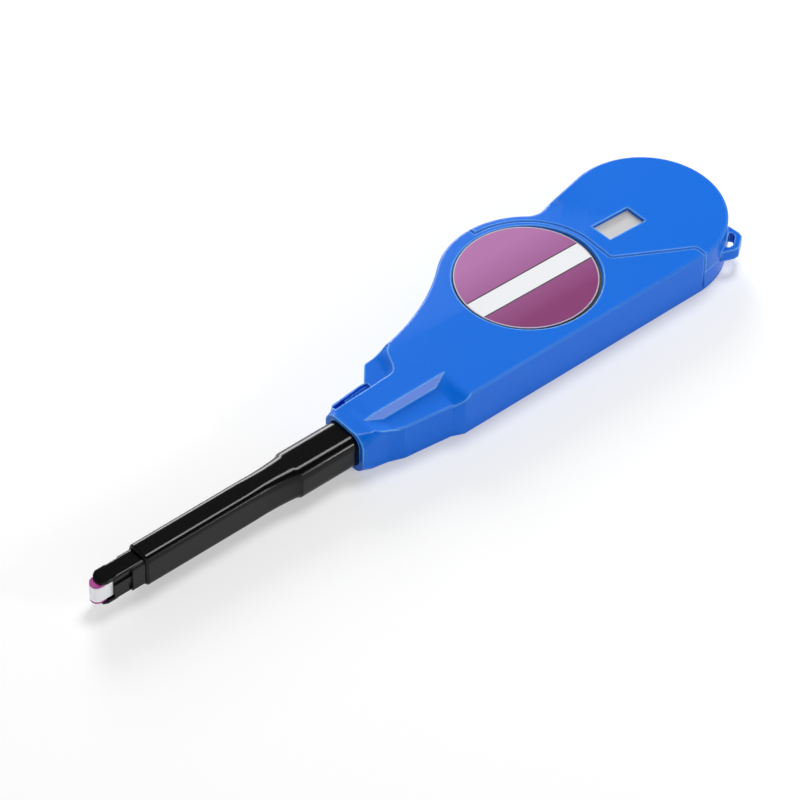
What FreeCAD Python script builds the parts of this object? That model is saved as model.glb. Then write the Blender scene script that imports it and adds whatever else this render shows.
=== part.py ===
"""Push-type cleaning pen for multi-fibre connectors, in millimetres, +Z up.

The pen lies on its flat back (z = 0).  +X points at the cleaning tip, and the
nozzle's centre line runs along y = 0 at half the housing's height.  The +Y side
of the housing is its long straight wall; the two reels stand off to -Y.
"""
import FreeCAD, Part
import math
import os

import Sketcher

Vec = FreeCAD.Vector
UP = Vec(0, 0, 1)

# ---------------------------------------------------------------- dimensions
DIMENSIONS = [
    # housing
    ("body_height", 14.0),
    ("shell_wall", 1.5),
    ("roof_thickness", 1.5),
    ("base_thickness", 1.4),
    ("edge_round", 0.8),
    ("seam_gap", 0.15),
    ("side_y", 13.1),
    ("dome_x", -90.0),
    ("dome_radius", 23.1),
    ("boss_x", -48.3),
    ("boss_y", -11.7),
    ("boss_radius", 24.8),
    ("waist_angle", 12.2),
    ("waist_round", 6.0),
    ("sweep_radius", 66.0),
    ("sweep_angle", 40.0),
    ("shoulder_x", 6.5),
    ("neck_start_x", 11.2),
    ("neck_side", 10.0),
    ("step_x", -4.6),
    ("step_length", 3.4),
    ("step_drop", 1.5),
    ("crease_y", -12.9),
    ("tilt_angle", 2.0),
    ("seam_radius", 22.5),
    ("seam_tick_x", -49.0),
    ("seam_corner_y", -2.7),
    ("seam_side_x", -91.6),
    ("seam_side_y", 9.4),
    ("seam_round", 1.6),
    ("seam_chamfer", 0.35),
    ("base_front_x", 10.4),
    # collar and finger hollows
    ("collar_x", 26.3),
    ("collar_half", 7.7),
    ("collar_drop", 0.45),
    ("collar_round", 3.9),
    ("hollow_depth", 2.0),
    ("hollow_bend", 0.72),
    ("hollow_inner_y", 1.9),
    ("hollow_front_x", 22.2),
    ("hollow_rear_x", -7.0),
    ("groove_rear_x", 10.6),
    ("groove_front_x", 23.4),
    ("hollow_edge_round", 0.5),
    ("groove_inner_y", -6.8),
    ("groove_depth", 1.0),
    ("groove_lip", 0.45),
    ("slot_rear_x", 18.8),
    ("slot_depth", 2.4),
    # label and window
    ("label_recess_radius", 20.5),
    ("label_recess_flare", 0.45),
    ("label_floor_drop", 1.25),
    ("label_radius", 19.9),
    ("label_shift", 0.35),
    ("label_thickness", 0.3),
    ("pad_thickness", 0.25),
    ("label_roof", 0.95),
    ("window_x", -81.55),
    ("window_y", -11.35),
    ("window_length", 12.65),
    ("window_width", 7.15),
    ("window_long_lean", -2.4),
    ("window_short_lean", 2.8),
    ("lens_depth", 1.1),
    ("lens_plate", 0.8),
    ("lens_margin", 1.0),
    ("lens_frame", 0.5),
    # lanyard loop
    ("loop_angle", 127.2),
    ("loop_reach", 4.0),
    ("loop_base", 10.8),
    ("loop_tip", 4.4),
    ("loop_thickness", 3.5),
    ("loop_hole_length", 5.8),
    ("loop_hole_width", 1.9),
    # nozzle
    ("nozzle_rear_x", -7.0),
    ("nozzle_tail_x", 25.2),
    ("nozzle_wide_x", 45.2),
    ("nozzle_thin_x", 61.0),
    ("nozzle_front_x", 95.8),
    ("nozzle_wide", 11.65),
    ("nozzle_thin", 8.1),
    ("nozzle_height", 10.7),
    ("tail_width", 8.1),
    ("tail_height", 8.0),
    ("nozzle_wall", 1.2),
    ("nozzle_round_wide", 3.2),
    ("nozzle_round_thin", 2.0),
    ("nozzle_waist_length", 0.9),
    ("nozzle_waist_step", 0.36),
    ("nozzle_taper", 2.2),
    ("nozzle_lip_length", 0.6),
    ("nozzle_lip_drop", 0.45),
    ("slide_play", 0.15),
    ("stroke", 6.0),
    # nose and cleaning head
    ("nose_block_x", 100.0),
    ("nose_side_x", 105.6),
    ("prong_front_x", 109.6),
    ("nose_width", 6.7),
    ("nose_height", 8.4),
    ("nose_step", 0.55),
    ("nose_lift", 0.18),
    ("nose_drop", 0.2),
    ("nose_groove", 1.4),
    ("prong_thickness", 0.95),
    ("prong_width", 5.3),
    ("prong_taper", 1.9),
    ("prong_tip_taper", 0.7),
    ("head_rear_x", 99.0),
    ("head_front_x", 111.0),
    ("head_width", 3.7),
    ("head_lip", 0.55),
    ("head_lip_length", 3.4),
    ("head_lip_reach", 0.15),
    ("head_travel", 1.5),
    ("rod_width", 2.4),
    ("rod_height", 4.2),
    ("rod_rear_x", 6.0),
    ("rod_guide_radius", 0.8),
    ("rod_guide_length", 3.0),
    # tape
    ("tape_width", 5.0),
    ("tape_thickness", 0.18),
    ("tape_play", 0.1),
    ("supply_roll_margin", 2.6),
    ("used_roll_radius", 10.0),
    # reels, gear and rack
    ("flange_thickness", 0.7),
    ("take_up_flange_radius", 19.9),
    ("supply_shift", 1.5),
    ("supply_hub_radius", 5.0),
    ("take_up_hub_radius", 8.0),
    ("axle_radius", 2.0),
    ("supply_axle_radius", 1.5),
    ("running_play", 0.06),
    ("pin_play", 0.03),
    ("face_play", 0.25),
    ("tooth_module", 0.8),
    ("gear_teeth", 48),
    ("gear_thickness", 1.8),
    ("tooth_backlash", 0.12),
    ("rack_length", 49.0),
    ("plate_thickness", 3.0),
    ("addendum", 0.95),
    ("dedendum", 1.2),
    ("pressure_angle", 20.0),
    ("clutch_teeth", 12),
    ("clutch_tooth", 0.6),
    # springs, rollers and screws
    ("spring_y", -8.5),
    ("spring_wire", 0.6),
    ("spring_radius", 2.6),
    ("spring_turns", 6),
    ("spring_rib_x", -26.8),
    ("spring_pin_radius", 1.4),
    ("spring_pin_length", 13.0),
    ("spring_pin_gap", 0.05),
    ("head_spring_wire", 0.35),
    ("head_spring_radius", 1.25),
    ("head_spring_turns", 7),
    ("roller_y", 8.2),
    ("roller_1_x", -70.0),
    ("roller_2_x", -24.0),
    ("roller_radius", 1.5),
    ("roller_pin_radius", 0.8),
    ("screw_radius", 1.0),
    ("screw_head_radius", 1.9),
    ("screw_head_height", 1.2),
    ("screw_boss_radius", 2.4),
    ("screw_wall_gap", 0.3),
]

doc = FreeCAD.newDocument("cleaning_pen")
sheet = doc.addObject("Spreadsheet::Sheet", "dims")
for row, (alias, number) in enumerate(DIMENSIONS, start=1):
    sheet.set("A%d" % row, str(number))
    sheet.setAlias("A%d" % row, alias)
doc.recompute()


def dim(alias):
    """The value of one cell of the sheet."""
    return float(sheet.get(alias))


nodes = {}


# ------------------------------------------------------------------- helpers
def polar(centre, radius, degrees):
    """A point on a circle in the XY plane."""
    turn = math.radians(degrees)
    return Vec(centre[0] + radius * math.cos(turn), centre[1] + radius * math.sin(turn), 0)


def arc(centre, radius, start, end):
    """An arc edge from one angle to another, by way of the angle between them."""
    middle = polar(centre, radius, (start + end) / 2)
    return Part.Arc(polar(centre, radius, start), middle, polar(centre, radius, end)).toShape()


def line(a, b):
    return Part.LineSegment(Vec(*a), Vec(*b)).toShape()


def angle_to(centre, point):
    return math.degrees(math.atan2(point[1] - centre[1], point[0] - centre[0]))


def block(x0, x1, y0, y1, z0, z1):
    """A box from its low and high corners."""
    return Part.makeBox(x1 - x0, y1 - y0, z1 - z0, Vec(x0, y0, z0))


def post(x, y, radius, z0, z1):
    """An upright cylinder."""
    return Part.makeCylinder(radius, z1 - z0, Vec(x, y, z0))


def prism(points, z0, z1):
    """An upright prism on a polygon of (x, y) points."""
    ring = [Vec(x, y, z0) for x, y in points]
    face = Part.Face(Part.makePolygon(ring + ring[:1]))
    return face.extrude(Vec(0, 0, z1 - z0))


def rounded_section(x, y0, y1, z0, z1, radius):
    """A rounded rectangle wire in the plane across the nozzle at x."""
    def edge(a, b):
        return Part.LineSegment(Vec(x, *a), Vec(x, *b)).toShape()

    def corner(y, z, start):
        def at(degrees):
            turn = math.radians(degrees)
            return Vec(x, y + radius * math.cos(turn), z + radius * math.sin(turn))
        return Part.Arc(at(start), at(start + 45), at(start + 90)).toShape()

    lo_y, hi_y, lo_z, hi_z = y0 + radius, y1 - radius, z0 + radius, z1 - radius
    return Part.Wire([
        edge((y1, lo_z), (y1, hi_z)), corner(hi_y, hi_z, 0),
        edge((hi_y, z1), (lo_y, z1)), corner(lo_y, hi_z, 90),
        edge((y0, hi_z), (y0, lo_z)), corner(lo_y, lo_z, 180),
        edge((lo_y, z0), (hi_y, z0)), corner(hi_y, lo_z, 270),
    ])


def rounded_bar(x0, x1, half_y, z0, z1, radius):
    """A straight bar of rounded rectangle section along X, centred on y = 0."""
    wire = rounded_section(x0, -half_y, half_y, z0, z1, radius)
    return Part.Face(wire).extrude(Vec(x1 - x0, 0, 0))


def feature(label, shape):
    """Keep a shape that code has made as a sub-part of the document."""
    item = doc.addObject("Part::Feature", label)
    item.Label = label
    item.Shape = shape.removeSplitter()
    item.Placement = FreeCAD.Placement()
    nodes[label] = item
    return item


ALONG_X = FreeCAD.Rotation(Vec(0, 1, 0), 90)


def primitive(kind, label, rules, rotation=FreeCAD.Rotation()):
    """A box or cylinder whose sizes and place are bound to the sheet."""
    item = doc.addObject(kind, label)
    item.Label = label
    item.Placement = FreeCAD.Placement(Vec(0, 0, 0), rotation)
    for name, expression in rules.items():
        item.setExpression(name, expression)
    return item


def new_body(label, x="0", y="0"):
    """A PartDesign body whose place is bound to the sheet."""
    item = doc.addObject("PartDesign::Body", label)
    item.Label = label
    item.setExpression("Placement.Base.x", x)
    item.setExpression("Placement.Base.y", y)
    nodes[label] = item
    return item


def new_sketch(body, name, role, offset=None):
    """A sketch on one of the body's own origin planes."""
    item = body.newObject("Sketcher::SketchObject", name)
    plane = next(f for f in body.Origin.OriginFeatures if f.Role == role)
    item.AttachmentSupport = (plane, [""])
    item.MapMode = "FlatFace"
    if offset:
        item.setExpression("AttachmentOffset.Base.z", offset)
    return item


def draw_circle(sketch, radius):
    """A circle about the sketch's origin whose radius is an expression."""
    index = sketch.addGeometry(Part.Circle(Vec(0, 0, 0), UP, 1.0), False)
    sketch.addConstraint(Sketcher.Constraint("Coincident", index, 3, -1, 1))
    rule = sketch.addConstraint(Sketcher.Constraint("Radius", index, 1.0))
    sketch.setExpression("Constraints[%d]" % rule, radius)


def draw_polygon(sketch, points):
    ring = [Vec(a, b, 0) for a, b in points]
    for start, end in zip(ring, ring[1:] + ring[:1]):
        sketch.addGeometry(Part.LineSegment(start, end), False)


def pad(body, sketch, length):
    item = body.newObject("PartDesign::Pad", sketch.Name + "_pad")
    item.Profile = sketch
    item.setExpression("Length", length)
    return item


def pocket(body, sketch, length):
    """Cut upward from the sketch, into the solid above it."""
    item = body.newObject("PartDesign::Pocket", sketch.Name + "_cut")
    item.Profile = sketch
    item.Reversed = True
    item.setExpression("Length", length)
    return item


def turned(label, points, x="0", y="0"):
    """A body turned about an upright axis from its (radius, height) profile."""
    body = new_body(label, x, y)
    sketch = new_sketch(body, label + "_profile", "XZ_Plane")
    draw_polygon(sketch, points)
    item = body.newObject("PartDesign::Revolution", label + "_turn")
    item.Profile = sketch
    item.ReferenceAxis = (sketch, ["V_Axis"])
    item.Angle = 360.0
    return body


def coil(x0, x1, centre_y, centre_z, radius, wire_radius, turns):
    """A coil spring along X: six-sided wire lofted through turned sections."""
    steps = 12
    turns = int(turns)
    run = x1 - x0 - 2 * wire_radius
    sections = []
    for step in range(steps * turns + 1):
        turn = 2 * math.pi * step / steps
        x = x0 + wire_radius + run * step / (steps * turns)
        ring = []
        for side in range(6):
            lean = math.pi * side / 3
            reach = radius + wire_radius * math.cos(lean)
            ring.append(Vec(x + wire_radius * math.sin(lean), centre_y + reach * math.cos(turn),
                            centre_z + reach * math.sin(turn)))
        sections.append(Part.makePolygon(ring + ring[:1]))
    return Part.makeLoft(sections, True, True)


# ------------------------------------------------------------ derived places
HEIGHT = dim("body_height")
MID_Z = HEIGHT / 2
WALL = dim("shell_wall")
CEILING = HEIGHT - dim("roof_thickness")
BASE_TOP = dim("base_thickness")
PLAY = dim("face_play")
BOSS = (dim("boss_x"), dim("boss_y"))
DOME = (dim("dome_x"), dim("side_y") - dim("dome_radius"))
SUPPLY = (DOME[0] - dim("supply_shift"), DOME[1])
SUPPLY_X = "dims.dome_x - dims.supply_shift"
SUPPLY_Y = "dims.side_y - dims.dome_radius"
TAPE_LOW = MID_Z - dim("tape_width") / 2
TAPE_HIGH = MID_Z + dim("tape_width") / 2
FLANGE_LOW_TOP = TAPE_LOW - dim("tape_play")
FLANGE_LOW = FLANGE_LOW_TOP - dim("flange_thickness")
FLANGE_HIGH = TAPE_HIGH + dim("tape_play")
FLANGE_HIGH_TOP = FLANGE_HIGH + dim("flange_thickness")
GEAR_LOW = BASE_TOP + PLAY
GEAR_HIGH = GEAR_LOW + dim("gear_thickness")
LABEL_FLOOR = HEIGHT - dim("label_floor_drop")
LABEL_CEILING = LABEL_FLOOR - dim("label_roof")
AXLE_SEAT = BASE_TOP - 0.9
PITCH_RADIUS = dim("tooth_module") * dim("gear_teeth") / 2
RACK_PITCH_Y = BOSS[1] + PITCH_RADIUS
SUPPLY_FLANGE = dim("dome_radius") - WALL - dim("supply_shift") - 2 * PLAY
SUPPLY_ROLL = SUPPLY_FLANGE - dim("supply_roll_margin")
STEP_END = (dim("step_x") + dim("step_length"), dim("side_y") - dim("step_drop"))
HULL_FRONT = (dim("neck_start_x") + 2, dim("neck_side") - 0.2)
SWEEP = polar(BOSS, dim("boss_radius") + dim("sweep_radius"), dim("sweep_angle") - 90)
SHOULDER_REACH = dim("shoulder_x") - SWEEP.x
SHOULDER = Vec(dim("shoulder_x"), SWEEP.y + math.sqrt(dim("sweep_radius") ** 2 - SHOULDER_REACH ** 2), 0)
SCREW_BOSS_LOW = BASE_TOP + 1.85
SCREW_TOP = CEILING - 3.0
FRONT_CEILING = HEIGHT - dim("hollow_depth") - 0.85
NOZZLE_STOP = dim("nozzle_rear_x") + PLAY


def screw_places():
    """Shoulder, sweep, label side and dome: each screw stands off its own wall."""
    boss = dim("screw_boss_radius")
    inset = WALL + boss + dim("screw_wall_gap")
    shoulder = (SHOULDER.x - 3.1, SHOULDER.y + inset)
    sweep = polar(SWEEP, dim("sweep_radius") + inset, 113.6)
    label_side = polar(BOSS, dim("take_up_flange_radius") + boss + 7 * PLAY, 137.8)
    slope = math.radians(dim("waist_angle"))
    leave = polar(DOME, dim("dome_radius") - inset, dim("waist_angle") - 90)
    dome = leave + Vec(math.cos(slope), math.sin(slope), 0) * dim("dome_radius") * 0.61
    return [(place[0], place[1]) for place in (shoulder, sweep, label_side, dome)]


SCREWS = screw_places()


# ------------------------------------------------------------------- housing
def outline_face():
    """The housing's plan: sweep, label boss, waist, dome and straight wall."""
    boss_r = dim("boss_radius")
    dome_r = dim("dome_radius")
    sweep_r = dim("sweep_radius")
    side = dim("side_y")
    lean = dim("sweep_angle") - 90

    # waist: a straight line tangent to the dome, then a hollow round to the boss
    slope = math.radians(dim("waist_angle"))
    along = Vec(math.cos(slope), math.sin(slope), 0)
    outward = Vec(math.sin(slope), -math.cos(slope), 0)
    leave = Vec(DOME[0], DOME[1], 0) + outward * dome_r
    hollow = dim("waist_round")
    offset = leave + outward * hollow - Vec(BOSS[0], BOSS[1], 0)
    half = offset.dot(along)
    rest = offset.dot(offset) - (boss_r + hollow) ** 2
    travel = -half - math.sqrt(half ** 2 - rest)
    hollow_centre = leave + along * travel + outward * hollow
    waist_end = leave + along * travel
    boss_turn = angle_to(BOSS, hollow_centre) + 360

    neck_x = dim("neck_start_x")
    neck_y = dim("neck_side")
    corners = [
        (dim("dome_x"), side, 0), (dim("step_x"), side, 0), (*STEP_END, 0), (*HULL_FRONT, 0),
        (HULL_FRONT[0], -neck_y, 0), (neck_x, -neck_y, 0), tuple(SHOULDER),
    ]
    edges = [line(a, b) for a, b in zip(corners, corners[1:])]
    edges.append(arc(SWEEP, sweep_r, angle_to(SWEEP, SHOULDER), angle_to(SWEEP, BOSS)))
    edges.append(arc(BOSS, boss_r, lean, boss_turn - 360))
    edges.append(arc(hollow_centre, hollow, boss_turn - 180, angle_to(hollow_centre, waist_end)))
    edges.append(Part.LineSegment(waist_end, leave).toShape())
    edges.append(arc(DOME, dome_r, dim("waist_angle") - 90, -270))
    return Part.Face(Part.Wire(Part.sortEdges(edges)[0]))


def bend(a, corner, b, radius):
    """A line and a round that take the path from a round a corner toward b."""
    back = (Vec(*a) - Vec(*corner)).normalize()
    ahead = (Vec(*b) - Vec(*corner)).normalize()
    half = back.getAngle(ahead) / 2
    start = Vec(*corner) + back * (radius / math.tan(half))
    end = Vec(*corner) + ahead * (radius / math.tan(half))
    across = (back + ahead).normalize()
    middle = Vec(*corner) + across * (radius / math.sin(half) - radius)
    return [line(a, start), Part.Arc(start, middle, end).toShape()], tuple(end)


def rear_face(gap):
    """Plan of everything behind the seam, grown by a gap on all sides."""
    radius = dim("seam_radius")
    start = angle_to(BOSS, (dim("seam_tick_x"), BOSS[1] - radius))
    tick = polar(BOSS, radius, start)
    far = 200.0
    corner = (BOSS[0] - radius, dim("seam_corner_y"), 0)
    side = (dim("seam_side_x"), dim("seam_side_y"), 0)
    first, leave = bend((corner[0], BOSS[1], 0), corner, side, dim("seam_round"))
    second, end = bend(leave, side, (side[0], far, 0), dim("seam_round"))
    edges = [line((tick.x, -far, 0), tuple(tick)), arc(BOSS, radius, start, -180)]
    edges += first + second
    edges += [
        line(end, (side[0], far, 0)), line((side[0], far, 0), (-far, far, 0)),
        line((-far, far, 0), (-far, -far, 0)), line((-far, -far, 0), (tick.x, -far, 0)),
    ]
    face = Part.Face(Part.Wire(edges))
    if gap:
        face = face.makeOffset2D(gap, join=2)
    return face


def rear_region(gap):
    return rear_face(gap).extrude(Vec(0, 0, HEIGHT + 2)).translated(Vec(0, 0, -1))


def seam_groove():
    """V-shaped groove along the seam: flat beside the wall, tilted past the crease."""
    width = dim("seam_chamfer")
    gap = dim("seam_gap")
    dip = gap / 3
    lift = 0.2
    solids = []
    for near, wide in ((gap - dip, gap + width + lift), (dip, -width - lift)):
        low = rear_face(near).OuterWire.translated(Vec(0, 0, HEIGHT - width - dip))
        high = rear_face(wide).OuterWire.translated(Vec(0, 0, HEIGHT + lift))
        solids.append(Part.makeLoft([low, high], True, True))
    flat = solids[0].cut(solids[1])
    tilted = flat.copy()
    tilted.rotate(Vec(0, dim("crease_y"), HEIGHT), Vec(1, 0, 0), dim("tilt_angle"))
    flat = flat.common(block(-150, 60, dim("crease_y"), 60, 0, HEIGHT + 2))
    tilted = tilted.common(block(-150, 60, -60, dim("crease_y"), 0, HEIGHT + 2))
    side_x, side_y = dim("seam_side_x"), dim("side_y")
    notch = prism([
        (side_x - width - lift, side_y + lift), (side_x, side_y - width),
        (side_x + gap, side_y - width), (side_x + gap + width + lift, side_y + lift),
    ], BASE_TOP + 0.3, HEIGHT + 1)
    return [flat, tilted, notch]


def round_rim(solid, z_min, z_max, radius):
    """Round the outer edges that lie between two heights, leaving the crease."""
    crease = dim("crease_y")
    chosen = []
    for edge in solid.Edges:
        box = edge.BoundBox
        flat_crease = abs(box.YMin - crease) < 0.01 and abs(box.YMax - crease) < 0.01
        if box.ZMin > z_min and box.ZMax < z_max and not flat_crease:
            chosen.append(edge)
    return solid.makeFillet(radius, chosen)


def hull_side(x):
    """Y of the hull's slanting side wall in front of the step, at one x."""
    share = (x - STEP_END[0]) / (HULL_FRONT[0] - STEP_END[0])
    return STEP_END[1] + share * (HULL_FRONT[1] - STEP_END[1])


def neck_sections():
    """Sections of the neck from the body out to the collar."""
    half = dim("collar_half")
    neck = dim("neck_side")
    drop = dim("collar_drop")
    start = dim("neck_start_x")
    collar = dim("collar_x")
    span = collar - start
    rows = [
        (start - 2.2, -neck, hull_side(start - 2.2) - 0.02, 0, HEIGHT, 0.8),
        (HULL_FRONT[0], -neck, HULL_FRONT[1] - 0.02, 0, HEIGHT, 0.8),
        (start + 0.44 * span, -neck + 0.4, neck - 1.7, 0, HEIGHT, 1.2),
        (start + 0.78 * span, -half - 1.4, half + 0.25, drop * 0.4, HEIGHT - drop * 0.8, 2.0),
        (start + 0.90 * span, -half - 0.2, half + 0.1, drop * 0.6, HEIGHT - drop, 3.1),
        (collar, -half, half, drop * 0.7, HEIGHT - drop, dim("collar_round")),
    ]
    return [rounded_section(*row) for row in rows]


outline = outline_face()
cavity_face = outline.makeOffset2D(-WALL)
body_prism = outline.extrude(Vec(0, 0, HEIGHT))
shoulder_edges = [
    edge for edge in body_prism.Edges
    if edge.BoundBox.ZLength > 1 and abs(edge.BoundBox.XMin - dim("shoulder_x")) < 0.01
]
body_prism = body_prism.makeFillet(2.0, shoulder_edges)

# the -Y half of the top falls away gently from the crease
fall = 60 * math.tan(math.radians(dim("tilt_angle")))
crease = dim("crease_y")
fall_face = Part.Face(Part.makePolygon([
    Vec(-130, crease, HEIGHT), Vec(-130, crease - 60, HEIGHT - fall),
    Vec(-130, crease - 60, HEIGHT + 1), Vec(-130, crease, HEIGHT + 1), Vec(-130, crease, HEIGHT),
]))
tilted_prism = body_prism.cut(fall_face.extrude(Vec(200, 0, 0)))
edge_round = dim("edge_round")
flat_hull = round_rim(body_prism, HEIGHT - 3, HEIGHT + 1, edge_round)
tilted_hull = round_rim(tilted_prism, HEIGHT - 3, HEIGHT + 1, edge_round)

# ring round the label boss where the rear shell dips to meet the tilted top
blend_radius = dim("boss_radius") + 0.2
blend_low = HEIGHT - 1.6
blend = post(BOSS[0], BOSS[1], blend_radius, -1, blend_low)
blend_rise = 1.7
blend = blend.fuse(Part.makeCone(blend_radius, blend_radius + 5 * blend_rise, blend_rise,
                                 Vec(BOSS[0], BOSS[1], blend_low)))
rear_hull = flat_hull.cut(blend).fuse(tilted_hull.common(blend))

# hollow inside, open at the bottom, with a lower ceiling under the label
cavity = cavity_face.extrude(Vec(0, 0, CEILING))
label_roof_block = post(BOSS[0], BOSS[1], dim("label_recess_radius") + 1.2, LABEL_CEILING, CEILING + 1)
cavity = cavity.cut(label_roof_block)
cavity = cavity.cut(block(NOZZLE_STOP, 60, -60, 60, FRONT_CEILING, HEIGHT + 1))
guard_radius = dim("seam_radius") - dim("seam_gap") - WALL + 0.1
guard = post(BOSS[0], BOSS[1], dim("boss_radius") + 0.1, -1, HEIGHT + 1)
guard = guard.cut(post(BOSS[0], BOSS[1], guard_radius, -1, HEIGHT + 1))
sector = [BOSS] + [tuple(polar(BOSS, 60, a))[:2] for a in (213, 240, 269)]
guard = guard.common(prism(sector, -1, HEIGHT + 1))
cavity = cavity.cut(guard)

bore_half = dim("nozzle_wide") / 2 + dim("slide_play")
bore_low = MID_Z - dim("nozzle_height") / 2 - dim("slide_play")
bore_high = MID_Z + dim("nozzle_height") / 2 + dim("slide_play")
bore_start = dim("nozzle_tail_x") - dim("stroke") - 0.2
bore = rounded_bar(bore_start, dim("collar_x") + 2, bore_half, bore_low, bore_high,
                   dim("nozzle_round_wide"))
tail_half = dim("tail_width") / 2 + dim("slide_play")
tail_reach = dim("tail_height") / 2 + dim("slide_play")
bore = bore.fuse(rounded_bar(NOZZLE_STOP + 1, bore_start + 0.5, tail_half, MID_Z - tail_reach,
                             MID_Z + tail_reach, 1.0))


def screw_bosses(places):
    """Bosses that hang from the roof and take the case screws."""
    solid = None
    holes = []
    for x, y in places:
        ceiling = FRONT_CEILING if x > NOZZLE_STOP else CEILING
        column = post(x, y, dim("screw_boss_radius"), SCREW_BOSS_LOW, ceiling + 0.2)
        holes.append(post(x, y, dim("screw_radius") + dim("pin_play"), SCREW_BOSS_LOW - 1, SCREW_TOP + 0.3))
        solid = column if solid is None else solid.fuse(column)
    return solid, holes


def scoop(low_edge, high_edge, open_y):
    """A cut with a flat floor and hollow slopes, open toward open_y.

    Both edges are lists of (x, y): where the floor ends and where the slope
    meets the top.  A middle edge, low down but half way out, makes it hollow.
    """
    depth = dim("hollow_depth")
    middle_edge = [((a[0] + b[0]) / 2, (a[1] + b[1]) / 2) for a, b in zip(low_edge, high_edge)]
    wires = []
    heights = (HEIGHT - depth, HEIGHT - dim("hollow_bend") * depth, HEIGHT + 0.01)
    for edge, z in zip((low_edge, middle_edge, high_edge), heights):
        ring = [Vec(x, y, z) for x, y in edge]
        curve = Part.BSplineCurve()
        curve.interpolate(ring)
        far = [Vec(ring[-1].x, open_y, z), Vec(ring[0].x, open_y, z)]
        wires.append(Part.Wire([
            curve.toShape(), line(ring[-1], far[0]), line(far[0], far[1]), line(far[1], ring[0]),
        ]))
    return Part.makeLoft(wires, True, False)


def hollow_cut():
    """Finger hollow on the +Y side of the neck: a floor with three sloped ends."""
    front, rear, inner = dim("hollow_front_x"), dim("hollow_rear_x"), dim("hollow_inner_y")
    depth = dim("hollow_depth")
    top, low = HEIGHT + 0.01, HEIGHT - depth
    wide = 30.0

    def ring(x0, x1, y0, z):
        points = [Vec(x0, y0, z), Vec(x1, y0, z), Vec(x1, wide, z), Vec(x0, wide, z)]
        return Part.makePolygon(points + points[:1])

    floor = ring(rear + 4.6, front - 6.4, inner + 1.6, low)
    return Part.makeLoft([floor, ring(rear, front, inner, top)], True, True)


def shelf_cut():
    """Shelf along the -Y side of the neck, with a scooped end behind the shoulder."""
    front = dim("groove_front_x") + 0.8
    inner = dim("groove_inner_y")
    low_edge = [
        (front, inner + 0.6), (15.0, inner + 0.35), (9.0, inner - 0.1), (6.2, inner - 1.0),
        (4.6, inner - 3.4), (3.7, inner - 6.2), (3.2, inner - 9.0),
    ]
    high_edge = [
        (front, inner + 0.85), (15.0, inner + 0.7), (7.0, inner + 0.3), (3.5, inner - 0.3),
        (1.6, inner - 3.0), (0.6, inner - 5.4), (-2.4, inner - 8.6),
    ]
    return scoop(low_edge, high_edge, -30.0)


def groove_cut():
    """Groove between the shelf's foot and the thin outer lip, deeper at the front."""
    rear, front = dim("groove_rear_x"), dim("groove_front_x")
    inner, lip = dim("groove_inner_y"), dim("groove_lip")
    half = dim("collar_half")
    low = HEIGHT - dim("hollow_depth") - dim("groove_depth")
    top = HEIGHT - dim("hollow_depth") + 0.5
    outer_y = lip - dim("neck_side")
    outer = [(rear, outer_y), (HULL_FRONT[0], outer_y), (front, lip - half - 1.2)]
    plan = [(rear, inner)] + outer + [(front, inner)]
    groove = prism(plan, low, top)
    slot_x = dim("slot_rear_x")
    slot = prism([(slot_x, inner), (slot_x, -30), (front, -30), (front, inner)],
                 low - dim("slot_depth"), top)
    return groove.fuse(slot.common(prism(plan, 0, HEIGHT)))


neck = Part.makeLoft(neck_sections(), True, True)
low_cut = block(-200, dim("base_front_x") + dim("seam_gap"), -60, 60, -1, BASE_TOP)

upper_hull = tilted_hull.cut(block(-200, 60, -60, 60, -1, BASE_TOP))
main_shell = upper_hull.fuse(neck.cut(low_cut))
main_shell = main_shell.cut(rear_region(dim("seam_gap")))
main_shell = main_shell.cut(hollow_cut())
wall_top = HEIGHT - dim("hollow_depth")
for x0, x1 in ((HULL_FRONT[0] - 0.1, dim("hollow_front_x")), (dim("hollow_rear_x"), HULL_FRONT[0] + 0.1)):
    wall_edges = [
        edge for edge in main_shell.Edges
        if abs(edge.BoundBox.ZMin - wall_top) < 0.01 and edge.BoundBox.ZLength < 0.02
        and edge.BoundBox.YMax > dim("collar_half") and edge.BoundBox.XLength > edge.BoundBox.YLength
        and edge.BoundBox.XMin > x0 and edge.BoundBox.XMax < x1
        and edge.BoundBox.YMin > dim("hollow_inner_y") + 2.0
    ]
    main_shell = main_shell.makeFillet(dim("hollow_edge_round"), wall_edges)
groove_tools = seam_groove()
for tool in [shelf_cut(), groove_cut()] + groove_tools:
    main_shell = main_shell.cut(tool)
inner_cavity = cavity.common(block(-200, dim("neck_start_x") - 2.2, -60, 60, -1, HEIGHT))
main_shell = main_shell.cut(inner_cavity).cut(bore)
recess_radius = dim("label_recess_radius")
flare = dim("label_recess_flare")
main_shell = main_shell.cut(post(BOSS[0], BOSS[1], recess_radius, LABEL_FLOOR, HEIGHT + 1))
main_shell = main_shell.cut(Part.makeCone(recess_radius, recess_radius + 1.2 * flare, 2.4 * flare,
                                          Vec(BOSS[0], BOSS[1], HEIGHT - 2 * flare)))
bosses, boss_holes = screw_bosses(SCREWS[:3])
main_shell = main_shell.fuse(bosses)
axle_boss_low = FLANGE_HIGH_TOP + PLAY
main_shell = main_shell.fuse(post(BOSS[0], BOSS[1], 3.2, axle_boss_low, LABEL_CEILING + 0.2))
for roller_x in (dim("roller_1_x"), dim("roller_2_x")):
    main_shell = main_shell.fuse(post(roller_x, dim("roller_y"), 1.9, FLANGE_HIGH + PLAY, CEILING + 0.2))
for hole in boss_holes:
    main_shell = main_shell.cut(hole)
axle_top = LABEL_CEILING - 0.2
axle_bore = dim("axle_radius") + dim("pin_play")
main_shell = main_shell.cut(post(BOSS[0], BOSS[1], axle_bore, 0, axle_top + 0.05))
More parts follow.
